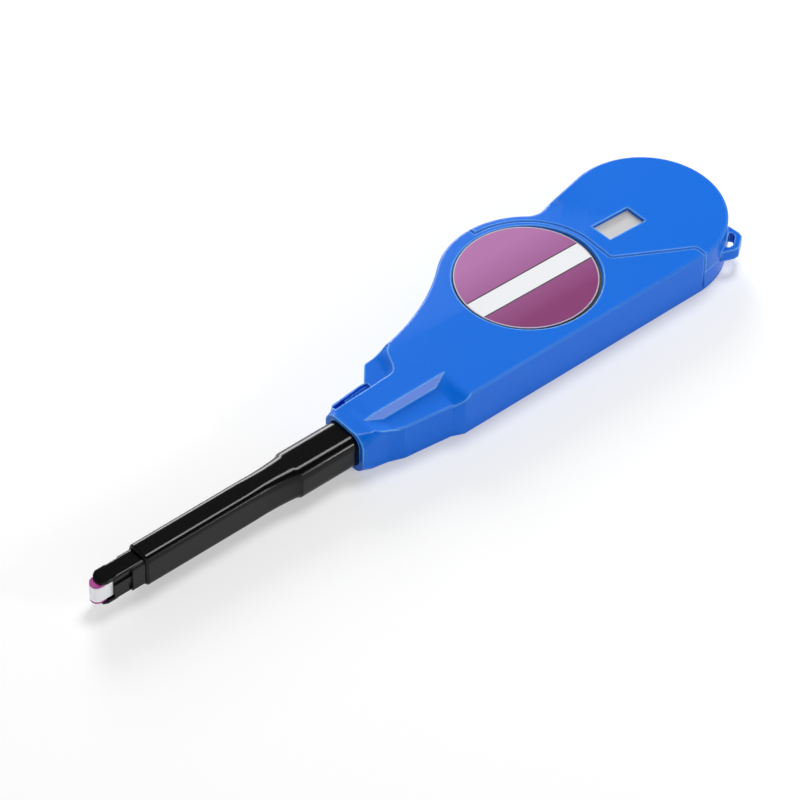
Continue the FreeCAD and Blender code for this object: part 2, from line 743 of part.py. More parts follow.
for roller_x in (dim("roller_1_x"), dim("roller_2_x")):
    main_shell = main_shell.cut(post(roller_x, dim("roller_y"), dim("roller_pin_radius") + dim("pin_play"),
                                     0, CEILING - 0.5))
feature("main_shell", main_shell)

# base cover: the whole flat back behind the neck
bottom_edges = [edge for edge in body_prism.Edges if edge.BoundBox.ZMax < 1]
base = body_prism.makeChamfer(edge_round * 0.75, bottom_edges)
base = base.common(block(-200, dim("base_front_x"), -60, 60, -1, BASE_TOP))
supply_seat = FLANGE_LOW - PLAY - 0.5
base = base.fuse(post(SUPPLY[0], SUPPLY[1], 4.0, BASE_TOP - 0.2, supply_seat))
rib_x = dim("spring_rib_x")
spring_y = dim("spring_y")
rib = block(rib_x, rib_x + 1.2, spring_y - 2.6, spring_y + 2.6, BASE_TOP - 0.2, MID_Z + 2.2)
pin_hole_radius = dim("spring_pin_radius") + dim("pin_play")
rib = rib.cut(Part.makeCylinder(pin_hole_radius, 10, Vec(rib_x - 5, spring_y, MID_Z), Vec(1, 0, 0)))
base = base.fuse(rib)
for x, y in SCREWS:
    base = base.fuse(post(x, y, dim("screw_boss_radius"), BASE_TOP - 0.2, SCREW_BOSS_LOW))
for x, y in SCREWS:
    base = base.cut(post(x, y, dim("screw_radius") + 0.1, -1, 10))
    base = base.cut(post(x, y, dim("screw_head_radius") + 0.15, -1, dim("screw_head_height") + 0.35))
base = base.cut(post(BOSS[0], BOSS[1], dim("axle_radius") + dim("pin_play"), AXLE_SEAT, 5))
base = base.cut(post(SUPPLY[0], SUPPLY[1], dim("supply_axle_radius") + dim("pin_play"), AXLE_SEAT, 5))
feature("base_cover", base)

# rear shells, split at half height
rear = rear_hull.common(rear_region(0)).cut(low_cut).cut(cavity)
lens_top = HEIGHT - dim("lens_depth")


def window_prism(grow, z0, z1):
    """The window's four-sided plan, grown on all sides, between two heights."""
    long_lean = math.radians(dim("window_long_lean"))
    short_lean = math.radians(dim("window_short_lean"))
    along = Vec(math.cos(long_lean), math.sin(long_lean), 0) * (dim("window_length") / 2 + grow)
    across = Vec(-math.sin(short_lean), math.cos(short_lean), 0) * (dim("window_width") / 2 + grow)
    centre = Vec(dim("window_x"), dim("window_y"), 0)
    corners = [centre + along * a + across * b for a, b in ((-1, -1), (1, -1), (1, 1), (-1, 1))]
    return prism([(corner.x, corner.y) for corner in corners], z0, z1)


rear = rear.cut(window_prism(0, CEILING - 1, HEIGHT + 1))
for tool in groove_tools:
    rear = rear.cut(tool)
rear_upper = rear.common(block(-200, 0, -60, 60, MID_Z, HEIGHT + 1))
rear_lower = rear.common(block(-200, 0, -60, 60, -1, MID_Z))
boss4, boss4_holes = screw_bosses(SCREWS[3:])
supply_axle_top = CEILING - 1.0
rear_upper = rear_upper.fuse(boss4.cut(boss4_holes[0]))
supply_post = post(SUPPLY[0], SUPPLY[1], 2.3, FLANGE_HIGH + PLAY, CEILING + 0.2)
rear_upper = rear_upper.fuse(supply_post)
rear_upper = rear_upper.cut(post(SUPPLY[0], SUPPLY[1], dim("supply_axle_radius") + dim("pin_play"), 0,
                                 supply_axle_top + 0.05))


def lanyard_loop():
    """Flat eye on the dome's side, with cut corners and one upright hole."""
    near = dim("dome_radius") + 0.05
    far = dim("dome_radius") + dim("loop_reach")
    base_half = dim("loop_base") / 2
    tip_half = dim("loop_tip") / 2
    low = MID_Z - dim("loop_thickness") / 2
    high = MID_Z + dim("loop_thickness") / 2
    points = [
        (near - 1.5, base_half), (near - 0.2, base_half), (far - 1.0, tip_half + 1.3), (far, tip_half),
        (far, -tip_half), (far - 1.0, -tip_half - 1.3), (near - 0.2, -base_half), (near - 1.5, -base_half),
    ]
    tab = prism(points, low, high)
    inner = near + 0.25
    hole_half = dim("loop_hole_length") / 2
    hole_far = inner + dim("loop_hole_width")
    hole = [
        (inner, hole_half), (hole_far - 0.8, hole_half), (hole_far, hole_half - 1.2),
        (hole_far, 1.2 - hole_half), (hole_far - 0.8, -hole_half), (inner, -hole_half),
    ]
    tab = tab.cut(prism(hole, low - 1, high + 1))
    tab.rotate(Vec(0, 0, 0), UP, dim("loop_angle"))
    tab.translate(Vec(DOME[0], DOME[1], 0))
    tab = tab.cut(post(DOME[0], DOME[1], near, -1, MID_Z))
    return tab.cut(post(DOME[0], DOME[1], dim("dome_radius") - 0.3, MID_Z - 1, HEIGHT))


rear_upper = rear_upper.fuse(lanyard_loop())
feature("rear_shell_upper", rear_upper)
feature("rear_shell_lower", rear_lower)

# window lens: a plate under the roof with a plug that fills the opening
plug_play = 0.08
lens = window_prism(dim("lens_margin"), CEILING - dim("lens_plate"), CEILING)
lens = lens.fuse(window_prism(-plug_play, CEILING - 0.2, lens_top))
lens = lens.cut(window_prism(-plug_play - dim("lens_frame"), lens_top - 0.15, lens_top + 1))
feature("window_lens", lens)

# ------------------------------------------------------------ label and pad
pad_body = new_body("label_pad", "dims.boss_x", "dims.boss_y")
pad_sketch = new_sketch(pad_body, "label_pad_ring", "XY_Plane", "dims.body_height - dims.label_floor_drop")
draw_circle(pad_sketch, "dims.label_recess_radius - 0.15")
pad(pad_body, pad_sketch, "dims.pad_thickness")
label_body = new_body("label_disc", "dims.boss_x", "dims.boss_y - dims.label_shift")
label_sketch = new_sketch(label_body, "label_ring", "XY_Plane",
                          "dims.body_height - dims.label_floor_drop + dims.pad_thickness")
draw_circle(label_sketch, "dims.label_radius")
pad(label_body, label_sketch, "dims.label_thickness")

# -------------------------------------------------------------- case screws
for number, (x, y) in enumerate(SCREWS, start=1):
    head_low = 0.35
    head_top = head_low + dim("screw_head_height")
    turned("case_screw_%d" % number, [
        (0, head_low + 0.5), (0.9, head_low + 0.5), (0.9, head_low), (dim("screw_head_radius"), head_low),
        (dim("screw_head_radius"), head_top), (dim("screw_radius"), head_top),
        (dim("screw_radius"), SCREW_TOP), (0, SCREW_TOP),
    ], "%s" % x, "%s" % y)

# ------------------------------------------------------------- axles, washer
turned("take_up_axle", [
    (0, AXLE_SEAT), (dim("axle_radius"), AXLE_SEAT), (dim("axle_radius"), axle_top), (0, axle_top),
], "dims.boss_x", "dims.boss_y")
turned("supply_axle", [
    (0, AXLE_SEAT), (dim("supply_axle_radius"), AXLE_SEAT), (dim("supply_axle_radius"), supply_axle_top),
    (0, supply_axle_top),
], SUPPLY_X, SUPPLY_Y)
washer_hole = dim("supply_axle_radius") + dim("running_play")
turned("brake_washer", [
    (washer_hole, supply_seat), (4.0, supply_seat),
    (4.0, FLANGE_LOW - 0.05), (washer_hole, FLANGE_LOW - 0.05),
], SUPPLY_X, SUPPLY_Y)

# --------------------------------------------------------------- supply reel
supply_bore = dim("supply_axle_radius") + dim("running_play")
turned("supply_reel", [
    (supply_bore, FLANGE_LOW), (SUPPLY_FLANGE, FLANGE_LOW),
    (SUPPLY_FLANGE, FLANGE_LOW_TOP), (dim("supply_hub_radius"), FLANGE_LOW_TOP),
    (dim("supply_hub_radius"), FLANGE_HIGH - 0.1), (dim("supply_hub_radius") - 1.2, FLANGE_HIGH - 0.1),
    (dim("supply_hub_radius") - 1.2, FLANGE_LOW_TOP + 0.6), (supply_bore + 1.2, FLANGE_LOW_TOP + 0.6),
    (supply_bore + 1.2, FLANGE_HIGH), (supply_bore, FLANGE_HIGH),
], SUPPLY_X, SUPPLY_Y)


def roll(label, inner, outer, x, y):
    """Wound tape: a plain ring between two radii."""
    turned(label, [(inner, TAPE_LOW), (outer, TAPE_LOW), (outer, TAPE_HIGH), (inner, TAPE_HIGH)], x, y)


roll("supply_tape_roll", dim("supply_hub_radius") + 0.02, SUPPLY_ROLL,
     SUPPLY_X, SUPPLY_Y)

# --------------------------------------------------------------- take-up reel
HUB_TUBE = 3.6
ratchet_high = FLANGE_HIGH - 0.6
ratchet_out = dim("take_up_hub_radius") - 1.1
ratchet_in = ratchet_out - dim("clutch_tooth")
take_up = new_body("take_up_reel", "dims.boss_x", "dims.boss_y")
profile = new_sketch(take_up, "take_up_profile", "XZ_Plane")
top_bore = dim("axle_radius") + dim("running_play")
low_bore = HUB_TUBE + dim("running_play")
draw_polygon(profile, [
    (low_bore, FLANGE_LOW), (dim("take_up_flange_radius"), FLANGE_LOW),
    (dim("take_up_flange_radius"), FLANGE_LOW_TOP), (dim("take_up_hub_radius"), FLANGE_LOW_TOP),
    (dim("take_up_hub_radius"), FLANGE_HIGH), (dim("take_up_flange_radius"), FLANGE_HIGH),
    (dim("take_up_flange_radius"), FLANGE_HIGH_TOP), (top_bore, FLANGE_HIGH_TOP),
    (top_bore, ratchet_high), (low_bore, ratchet_high),
])
take_up_turn = take_up.newObject("PartDesign::Revolution", "take_up_turn")
take_up_turn.Profile = profile
take_up_turn.ReferenceAxis = (profile, ["V_Axis"])
take_up_turn.Angle = 360.0
doc.recompute()
ratchet = new_sketch(take_up, "ratchet_teeth", "XY_Plane", "%s" % FLANGE_LOW_TOP)
saw = []
clutch_teeth = int(dim("clutch_teeth"))
for tooth in range(clutch_teeth):
    start = 360.0 * tooth / clutch_teeth
    saw.append(tuple(polar((0, 0), ratchet_in, start))[:2])
    saw.append(tuple(polar((0, 0), ratchet_out, start + 2))[:2])
draw_polygon(ratchet, saw)
pocket(take_up, ratchet, "%s" % (ratchet_high - FLANGE_LOW_TOP))
roll("used_tape_roll", dim("take_up_hub_radius") + 0.02, dim("used_roll_radius"),
     "dims.boss_x", "dims.boss_y")


# --------------------------------------------------------- gear, rack, clutch
def tooth_ring(module, teeth, backlash):
    """Outline of a spur gear with straight flanks that match the rack."""
    pitch = module * teeth / 2
    outer, root = pitch + module * dim("addendum"), pitch - module * dim("dedendum")
    half_pitch = math.pi * module / 4 - backlash
    lean = math.tan(math.radians(dim("pressure_angle")))
    stations = [
        (root, half_pitch + lean * (pitch - root) * 0.9),
        (outer, half_pitch - lean * module * dim("addendum")),
    ]
    ring = []
    for tooth in range(teeth):
        middle = 360.0 * tooth / teeth + 90.0
        for side in (-1, 1):
            for radius, half in stations[::-side]:
                swing = math.degrees(half / radius) * side
                ring.append(tuple(polar((0, 0), radius, middle + swing))[:2])
    return ring


gear = new_body("drive_gear", "dims.boss_x", "dims.boss_y")
gear_sketch = new_sketch(gear, "gear_teeth_ring", "XY_Plane", "dims.base_thickness + dims.face_play")
draw_polygon(gear_sketch, tooth_ring(dim("tooth_module"), int(dim("gear_teeth")), dim("tooth_backlash")))
pad(gear, gear_sketch, "dims.gear_thickness")
tube_sketch = new_sketch(gear, "gear_tube_ring", "XY_Plane", "dims.base_thickness + dims.face_play")
draw_circle(tube_sketch, "%s" % HUB_TUBE)
pad(gear, tube_sketch, "%s" % (ratchet_high - 0.3 - GEAR_LOW))
doc.recompute()
bore_sketch = new_sketch(gear, "gear_bore_ring", "XY_Plane", "dims.base_thickness")
draw_circle(bore_sketch, "dims.axle_radius + dims.running_play")
pocket(gear, bore_sketch, "dims.body_height")


def clutch_outline():
    """Ring with three springy arms that end in the ratchet's pockets."""
    inner = HUB_TUBE + 0.02
    ring_out = inner + 0.8
    low, high = FLANGE_LOW_TOP + 0.8, ratchet_high - 0.9
    solid = post(0, 0, ring_out, low, high)
    for start in (0, 120, 240):
        steps = 9
        sweep = 95.0
        outside = []
        inside = []
        for step in range(steps + 1):
            share = step / steps
            middle = ring_out - 0.3 + share * (ratchet_in - ring_out - 0.2)
            outside.append(tuple(polar((0, 0), middle + 0.3, start + sweep * share))[:2])
            inside.append(tuple(polar((0, 0), middle - 0.3, start + sweep * share))[:2])
        solid = solid.fuse(prism(outside + inside[::-1], low, high))
    solid = solid.cut(post(0, 0, inner, low - 1, high + 1))
    solid.translate(Vec(BOSS[0], BOSS[1], 0))
    return solid


feature("clutch_spring", clutch_outline())

plate_x1 = dim("nozzle_rear_x")
plate_x0 = plate_x1 - dim("plate_thickness")
inner_wide = dim("tail_width") / 2 - dim("nozzle_wall")
TAIL_LOW = MID_Z - dim("tail_height") / 2
TAIL_HIGH = MID_Z + dim("tail_height") / 2
tail_inner_low = TAIL_LOW + dim("nozzle_wall")
tail_inner_high = TAIL_HIGH - dim("nozzle_wall")
inner_low = MID_Z - dim("nozzle_height") / 2 + dim("nozzle_wall")
inner_high = MID_Z + dim("nozzle_height") / 2 - dim("nozzle_wall")
leg_in = dim("head_width") / 2
leg_out = leg_in + dim("tape_thickness")
RACK_BACK = dim("side_y") - WALL - PLAY
RACK_HIGH = GEAR_HIGH


def slide_carriage():
    """Plate behind the nozzle, with its plug, tape slots, spring arm and rack."""
    low, high = BASE_TOP + PLAY, CEILING - PLAY
    solid = block(plate_x0, plate_x1, spring_y - 3.4, 7.0, low, high)
    plug_x1 = plate_x1 + 8.0
    solid = solid.fuse(block(plate_x1 - 0.5, plug_x1, -inner_wide + 0.03, inner_wide - 0.03,
                             tail_inner_low + 0.03, tail_inner_high - 0.03))
    for side in (-1, 1):
        near, away = leg_in - 0.3, leg_out + 0.5
        y0, y1 = sorted((side * near, side * away))
        solid = solid.cut(block(plate_x0 - 1, plug_x1 + 1, y0, y1, TAPE_LOW - 0.2, TAPE_HIGH + 0.2))
    solid = solid.cut(block(plate_x1 + 3.0, plug_x1 + 1, -leg_in, leg_in, TAPE_LOW - 0.2, TAPE_HIGH + 0.2))
    solid = solid.cut(Part.makeCylinder(dim("spring_pin_radius") + 0.3, 20,
                                        Vec(plate_x0 - 5, spring_y, MID_Z), Vec(1, 0, 0)))
    # rack: a bar along the straight wall with its teeth facing the gear
    module = dim("tooth_module")
    pitch = math.pi * module
    root_y = RACK_PITCH_Y + module * dim("dedendum")
    tip_y = RACK_PITCH_Y - module * dim("addendum")
    rack_x0 = plate_x1 - dim("rack_length")
    solid = solid.fuse(block(plate_x0, plate_x1, 5.0, RACK_BACK, low, RACK_HIGH))
    solid = solid.fuse(block(rack_x0, plate_x1, root_y - 0.01, RACK_BACK, low, RACK_HIGH))
    half = pitch / 4 - dim("tooth_backlash")
    lean = math.tan(math.radians(dim("pressure_angle")))
    count = int((BOSS[0] + dim("stroke") - rack_x0) / pitch) + 2
    for tooth in range(-2, count):
        middle = BOSS[0] + pitch / 2 + pitch * tooth
        wide, narrow = half + lean * module * 1.1, half - lean * module * dim("addendum")
        if middle - wide > rack_x0 and middle + wide < BOSS[0] + dim("stroke") + 4 * pitch:
            solid = solid.fuse(prism([
                (middle - wide, root_y), (middle - narrow, tip_y), (middle + narrow, tip_y),
                (middle + wide, root_y),
            ], low, RACK_HIGH))
    return solid


feature("slide_carriage", slide_carriage())


# -------------------------------------------------------------------- nozzle
def nozzle_sections():
    """Half widths and corner rounds of the nozzle from rear to front."""
    wide, thin = dim("nozzle_wide") / 2, dim("nozzle_thin") / 2
    start, end = dim("nozzle_wide_x"), dim("nozzle_thin_x")
    round_wide, round_thin = dim("nozzle_round_wide"), dim("nozzle_round_thin")
    rows = [(dim("nozzle_tail_x"), wide, round_wide), (start, wide, round_wide)]
    step = wide - (wide - thin) * dim("nozzle_waist_step")
    for share in (0.0, 0.18, 0.4, 0.66, 1.0):
        x = start + dim("nozzle_waist_length") + share * (end - start - dim("nozzle_waist_length"))
        half = thin + (step - thin) * (1 - share) ** dim("nozzle_taper")
        rows.append((x, half, round_wide + (round_thin - round_wide) * share))
    front, drop = dim("nozzle_front_x"), dim("nozzle_lip_drop")
    rows.append((front - dim("nozzle_lip_length"), thin, round_thin))
    rows.append((front, thin - drop, round_thin - 0.3))
    return rows


def nozzle_shell():
    low, high = MID_Z - dim("nozzle_height") / 2, MID_Z + dim("nozzle_height") / 2
    rows = nozzle_sections()
    wires = [rounded_section(x, -half, half, low, high, r) for x, half, r in rows[:-1]]
    solid = Part.makeLoft(wires, True, True)
    x, half, r = rows[-1]
    drop = dim("nozzle_lip_drop")
    lip = [wires[-1], rounded_section(x, -half, half, low + drop, high - drop, r)]
    solid = solid.fuse(Part.makeLoft(lip, True, True))
    tail = rounded_bar(dim("nozzle_rear_x"), dim("nozzle_tail_x") + 0.5, dim("tail_width") / 2, TAIL_LOW,
                       TAIL_HIGH, 0.85)
    solid = solid.fuse(tail)
    thin_half = dim("nozzle_thin") / 2 - dim("nozzle_wall")
    solid = solid.cut(block(dim("nozzle_rear_x") - 1, dim("nozzle_tail_x") + 2, -inner_wide, inner_wide,
                            tail_inner_low, tail_inner_high))
    solid = solid.cut(block(dim("nozzle_tail_x") + 1, dim("nozzle_front_x") + 1, -thin_half, thin_half,
                            inner_low, inner_high))
    # ribs that guide the push rod
    gap = 0.12
    rod_half = dim("rod_height") / 2
    rib_half = 0.7
    rib_rear, rib_front = dim("nozzle_tail_x") + 1.5, dim("nozzle_front_x") - 7
    below = (inner_low - 0.2, MID_Z - rod_half - gap)
    above = (MID_Z + rod_half + gap, inner_high + 0.2)
    for z0, z1 in (below, above):
        solid = solid.fuse(block(rib_rear, rib_front, -rib_half, rib_half, z0, z1))
    return solid


# the lower piece is the bottom wall with its rib, the upper one all the rest
nozzle = nozzle_shell()
bottom = block(-50, 150, -20, 20, -20, inner_low)
bottom = bottom.fuse(block(dim("nozzle_tail_x") + 1.2, 150, -1.2, 1.2, inner_low - 1, MID_Z))
feature("nozzle_lower", nozzle.common(bottom))
feature("nozzle_upper", nozzle.cut(bottom))


def nose_piece():
    """Stepped nose: plug, block, grooved cheeks and the two prongs."""
    rear, shoulder = dim("nozzle_front_x") - 6.0, dim("nozzle_front_x")
    block_x, cheek_x, prong_x = dim("nose_block_x"), dim("nose_side_x"), dim("prong_front_x")
    half, tall = dim("nose_width") / 2, dim("nose_height") / 2
    step = dim("nose_step")
    plug_half = dim("nozzle_thin") / 2 - dim("nozzle_wall") - 0.03
    solid = block(rear, shoulder + 0.5, -plug_half, plug_half, inner_low + 0.03, inner_high - 0.03)
    bottom, top = MID_Z - tall, MID_Z + tall
    solid = solid.fuse(rounded_bar(shoulder, block_x, half, bottom, top - dim("nose_drop"), 0.8))
    solid = solid.fuse(rounded_bar(shoulder, cheek_x, half - step, bottom + dim("nose_lift"), top, 0.6))
    prong_half = dim("prong_width") / 2
    thick = dim("prong_thickness")
    taper, tip_taper = dim("prong_taper"), dim("prong_tip_taper")
    side_run = [
        (cheek_x - 1.0, prong_half), (prong_x - taper, prong_half),
        (prong_x - tip_taper, prong_half - 0.65), (prong_x, prong_half - 1.7),
    ]
    tips = [(x, -y) for x, y in side_run] + side_run[::-1]
    for z0 in (top - thick, bottom + dim("nose_lift")):
        solid = solid.fuse(prism(tips, z0, z0 + thick))
    # sloped leading edges of the prongs
    for sign in (-1, 1):
        z = MID_Z + sign * tall
        ramp = Part.makePolygon([
            Vec(prong_x - 1.1, -5, z), Vec(prong_x + 0.3, -5, z), Vec(prong_x + 0.3, -5, z - sign * 1.0),
            Vec(prong_x - 1.1, -5, z),
        ])
        solid = solid.cut(Part.Face(ramp).extrude(Vec(0, 10, 0)))
    # L-shaped side grooves under the upper prong and small notches near the bottom
    groove_top = MID_Z + tall - thick - 0.5
    for side in (-1, 1):
        y0, y1 = sorted((side * (half - step - 0.5), side * (half + 1)))
        solid = solid.cut(block(block_x, cheek_x + 1, y0, y1, groove_top - dim("nose_groove"), groove_top))
        solid = solid.cut(block(block_x, block_x + 0.8, y0, y1, groove_top - 0.5, MID_Z + tall - 0.55))
        y0, y1 = sorted((side * (half - step - 0.35), side * (half + 1)))
        solid = solid.cut(block(block_x, block_x + 0.8, y0, y1, MID_Z - 3.0, MID_Z - 0.9))
    # passage for the rod and the two tape legs, wider where the head slides
    way = leg_out + 0.1
    solid = solid.cut(block(rear - 1, prong_x + 1, -way, way, TAPE_LOW - 0.15, TAPE_HIGH + 0.15))
    lip_reach = MID_Z - TAPE_LOW + 0.1 + dim("head_lip") + 0.1
    solid = solid.cut(block(dim("head_rear_x") - dim("head_travel") - 0.5, prong_x + 1, -way, way,
                            MID_Z - lip_reach, MID_Z + lip_reach))
    return solid


feature("nose_piece", nose_piece())


# ------------------------------------------------------ head, rod and springs
def bullet(front_x, half, rear_x, z0, z1):
    """Plan of a bar with a half-round front."""
    centre = (front_x - half, 0)
    edges = [
        line((rear_x, -half, z0), (centre[0], -half, z0)),
        Part.Arc(Vec(centre[0], -half, z0), Vec(front_x, 0, z0), Vec(centre[0], half, z0)).toShape(),
        line((centre[0], half, z0), (rear_x, half, z0)),
        line((rear_x, half, z0), (rear_x, -half, z0)),
    ]
    return Part.Face(Part.Wire(edges)).extrude(Vec(0, 0, z1 - z0))


head_front = dim("head_front_x")
lip_low = TAPE_LOW - 0.1
lip_high = TAPE_HIGH + 0.1
head = bullet(head_front, leg_in, dim("head_rear_x"), lip_low, lip_high)
lip_front = head_front + dim("head_lip_reach")
lip_rear = head_front - dim("head_lip_length")
lip_half = leg_in + 0.12
head = head.fuse(bullet(lip_front, lip_half, lip_rear, lip_high - 0.01, lip_high + dim("head_lip")))
head = head.fuse(bullet(lip_front, lip_half, lip_rear, lip_low - dim("head_lip"), lip_low + 0.01))
feature("cleaning_head", head)

rod_bar = primitive("Part::Box", "rod_bar", {
    "Length": "dims.head_rear_x - dims.rod_rear_x",
    "Width": "dims.rod_width",
    "Height": "dims.rod_height",
    "Placement.Base.x": "dims.rod_rear_x",
    "Placement.Base.y": "-dims.rod_width / 2",
    "Placement.Base.z": "(dims.body_height - dims.rod_height) / 2",
})
rod_guide = primitive("Part::Cylinder", "rod_guide", {
    "Radius": "dims.rod_guide_radius",
    "Height": "dims.rod_guide_length",
    "Placement.Base.x": "dims.rod_rear_x - dims.rod_guide_length",
    "Placement.Base.z": "dims.body_height / 2",
}, ALONG_X)
rod = doc.addObject("Part::MultiFuse", "head_rod")
rod.Label = "head_rod"
rod.Shapes = [rod_bar, rod_guide]
nodes["head_rod"] = rod

legs_rear = plate_x0 - 0.4
tape_seat = head_front + 0.02
tape_front = tape_seat + dim("tape_thickness")
tape_tip = bullet(tape_front, leg_out + 0.02, legs_rear, TAPE_LOW, TAPE_HIGH)
tape_inside = bullet(tape_seat, leg_in + 0.02, legs_rear - 1, TAPE_LOW - 1, TAPE_HIGH + 1)
feature("tape_tip", tape_tip.cut(tape_inside))

seat_x = plate_x1 + 3.0
feature("head_spring", coil(seat_x, dim("rod_rear_x"), 0, MID_Z, dim("head_spring_radius"),
                            dim("head_spring_wire") / 2, dim("head_spring_turns")))
feature("return_spring", coil(rib_x + 1.2, plate_x0, spring_y, MID_Z, dim("spring_radius"),
                              dim("spring_wire") / 2, dim("spring_turns")))
nodes["spring_pin"] = primitive("Part::Cylinder", "spring_pin", {
    "Radius": "dims.spring_pin_radius",
    "Height": "dims.spring_pin_length",
    "Placement.Base.x": "dims.spring_rib_x + dims.spring_pin_gap",
    "Placement.Base.y": "dims.spring_y",
    "Placement.Base.z": "dims.body_height / 2",
}, ALONG_X)

# ------------------------------------------------------------------- rollers
for number in (1, 2):
    place = ("dims.roller_%d_x" % number, "dims.roller_y")
    bore_radius = dim("roller_pin_radius") + dim("running_play")
    pin_head = dim("roller_radius") - 0.15
    pin_radius = dim("roller_pin_radius")
    turned("tape_roller_%d" % number, [
        (bore_radius, TAPE_LOW - 0.35), (dim("roller_radius"), TAPE_LOW - 0.35),
        (dim("roller_radius"), TAPE_HIGH + 0.3), (bore_radius, TAPE_HIGH + 0.3),
    ], *place)
    turned("roller_pin_%d" % number, [
        (0, TAPE_LOW - 0.85), (pin_head, TAPE_LOW - 0.85), (pin_head, TAPE_LOW - 0.4),
        (pin_radius, TAPE_LOW - 0.4), (pin_radius, CEILING - 0.55), (0, CEILING - 0.55),
    ], *place)


# ----------------------------------------------------------------- tape runs
def tangent_angle(first, first_radius, second, second_radius):
    """Direction of the tangent that stays on the left of both round pieces."""
    gap_x, gap_y = second[0] - first[0], second[1] - first[1]
    lean = math.asin((first_radius - second_radius) / math.hypot(gap_x, gap_y))
    return math.degrees(math.atan2(gap_y, gap_x) - lean)


def ribbon(path):
    """A strip of tape as wide as the tape, on a path of (x, y) points."""
    half = dim("tape_thickness") / 2
    left, right = [], []
    for index, point in enumerate(path):
        before = path[max(index - 1, 0)]
        after = path[min(index + 1, len(path) - 1)]
        run_x, run_y = after[0] - before[0], after[1] - before[1]
        length = math.hypot(run_x, run_y)
        side_x, side_y = -run_y / length * half, run_x / length * half
        left.append((point[0] + side_x, point[1] + side_y))
        right.append((point[0] - side_x, point[1] - side_y))
    return prism(left + right[::-1], TAPE_LOW, TAPE_HIGH)


def round_points(centre, radius, start, end, steps):
    return [tuple(polar(centre, radius, start + (end - start) * k / steps))[:2] for k in range(steps + 1)]


lift = dim("tape_thickness") / 2 + 0.03
roller_1 = (dim("roller_1_x"), dim("roller_y"))
roller_2 = (dim("roller_2_x"), dim("roller_y"))
supply_line = SUPPLY_ROLL + lift
roller_line = dim("roller_radius") + lift
entry = (legs_rear - 0.1, (leg_in + leg_out) / 2)
first = tangent_angle(SUPPLY, supply_line, roller_1, roller_line)
second = tangent_angle(roller_1, roller_line, roller_2, roller_line)
third = tangent_angle(roller_2, roller_line, entry, 0)
feed = [tuple(polar(SUPPLY, supply_line, first + 90))[:2]]
feed += round_points(roller_1, roller_line, first + 90, second + 90, 4)
feed += round_points(roller_2, roller_line, second + 90, third + 90, 5)
feed.append(entry)
feature("tape_feed_run", ribbon(feed))
exit_point = (legs_rear - 0.1, -(leg_in + leg_out) / 2)
used_line = dim("used_roll_radius") + lift
home = tangent_angle(BOSS, used_line, exit_point, 0)
roll_point = tuple(polar(BOSS, used_line, home + 90))[:2]
feature("tape_return_run", ribbon([exit_point, roll_point]))

# -------------------------------------------------------------- check, write
doc.recompute()
for item in doc.Objects:
    if "Invalid" in item.State or "Error" in item.State:
        raise RuntimeError("failed: %s %s" % (item.Name, item.State))
for label, item in nodes.items():
    shape = item.Shape
    if shape.isNull() or not shape.isValid() or len(shape.Solids) != 1:
        raise RuntimeError("bad shape: %s, %d solids" % (label, len(shape.Solids)))

os.makedirs("parts", exist_ok=True)
for label, item in nodes.items():
    item.Shape.exportStep("parts/%s.step" % label)
    print("%-18s %9.1f mm3" % (label, item.Shape.Volume))
print(len(nodes), "sub-parts written")
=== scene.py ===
# %% [markdown]
# The cleaning pen, dressed and lit.  The solid parts come ready made, at their real
# size and place, so this lesson leaves their shape alone and gives each of them its
# finish: moulded plastic, woven tape, printed film, frosted window and bright steel.
# We load the parts first, with a helper that measures the box that one part fills.

# %% Load the parts
import math

import bpy
from mathutils import Matrix, Vector


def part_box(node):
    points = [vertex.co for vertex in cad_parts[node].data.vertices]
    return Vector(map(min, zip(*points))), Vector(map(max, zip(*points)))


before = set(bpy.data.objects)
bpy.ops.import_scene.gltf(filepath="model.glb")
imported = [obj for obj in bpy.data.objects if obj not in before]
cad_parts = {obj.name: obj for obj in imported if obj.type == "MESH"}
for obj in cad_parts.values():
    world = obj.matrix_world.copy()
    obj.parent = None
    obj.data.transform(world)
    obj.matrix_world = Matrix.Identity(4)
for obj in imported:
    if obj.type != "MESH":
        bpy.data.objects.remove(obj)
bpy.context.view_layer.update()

print("parts:", len(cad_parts))

# %% [markdown]
# A solid that comes from a modelling program is cut into small flat faces.  On a real
# moulding the curves are smooth and the corners are crisp.  Smooth shading alone would
# smear the corners, so three modifiers share the work: Weld joins the faces along their
# seams, Edge Split parts them again wherever they meet at more than 28 degrees, and
# Weighted Normal lets the large faces decide how the light rolls over the small ones.
# The weld closes gaps of a thousandth of a millimetre at most, so the shape stays.

# %% Smooth the curves, keep the corners
SEAM_GAP = 1e-6
CORNER = math.radians(28)


def smooth_skin(part):
    for face in part.data.polygons:
        face.use_smooth = True
    weld = part.modifiers.new("join", "WELD")
    weld.merge_threshold = SEAM_GAP
    split = part.modifiers.new("corners", "EDGE_SPLIT")
    split.split_angle = CORNER
    part.modifiers.new("roll", "WEIGHTED_NORMAL").keep_sharp = True


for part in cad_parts.values():
    smooth_skin(part)
print("faces in all:", sum(len(p.data.polygons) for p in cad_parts.values()))

# %% [markdown]
# Every finish here is a small tree of nodes.  Colours are easiest to choose as the
# screen shows them, but the renderer adds up light, so a short helper turns screen
# values into light values; its numbers are those of the standard screen curve.  The
# other helpers start a material, add a node with its sockets set, and link two nodes.
# The last one, feed, takes either a plain value or the output of another node.

# %% Helpers for the finishes
def screen(r, g, b):
    def light(v):
        v = v / 255
        return v / 12.92 if v <= 0.04045 else ((v + 0.055) / 1.055) ** 2.4
    return (light(r), light(g), light(b), 1.0)


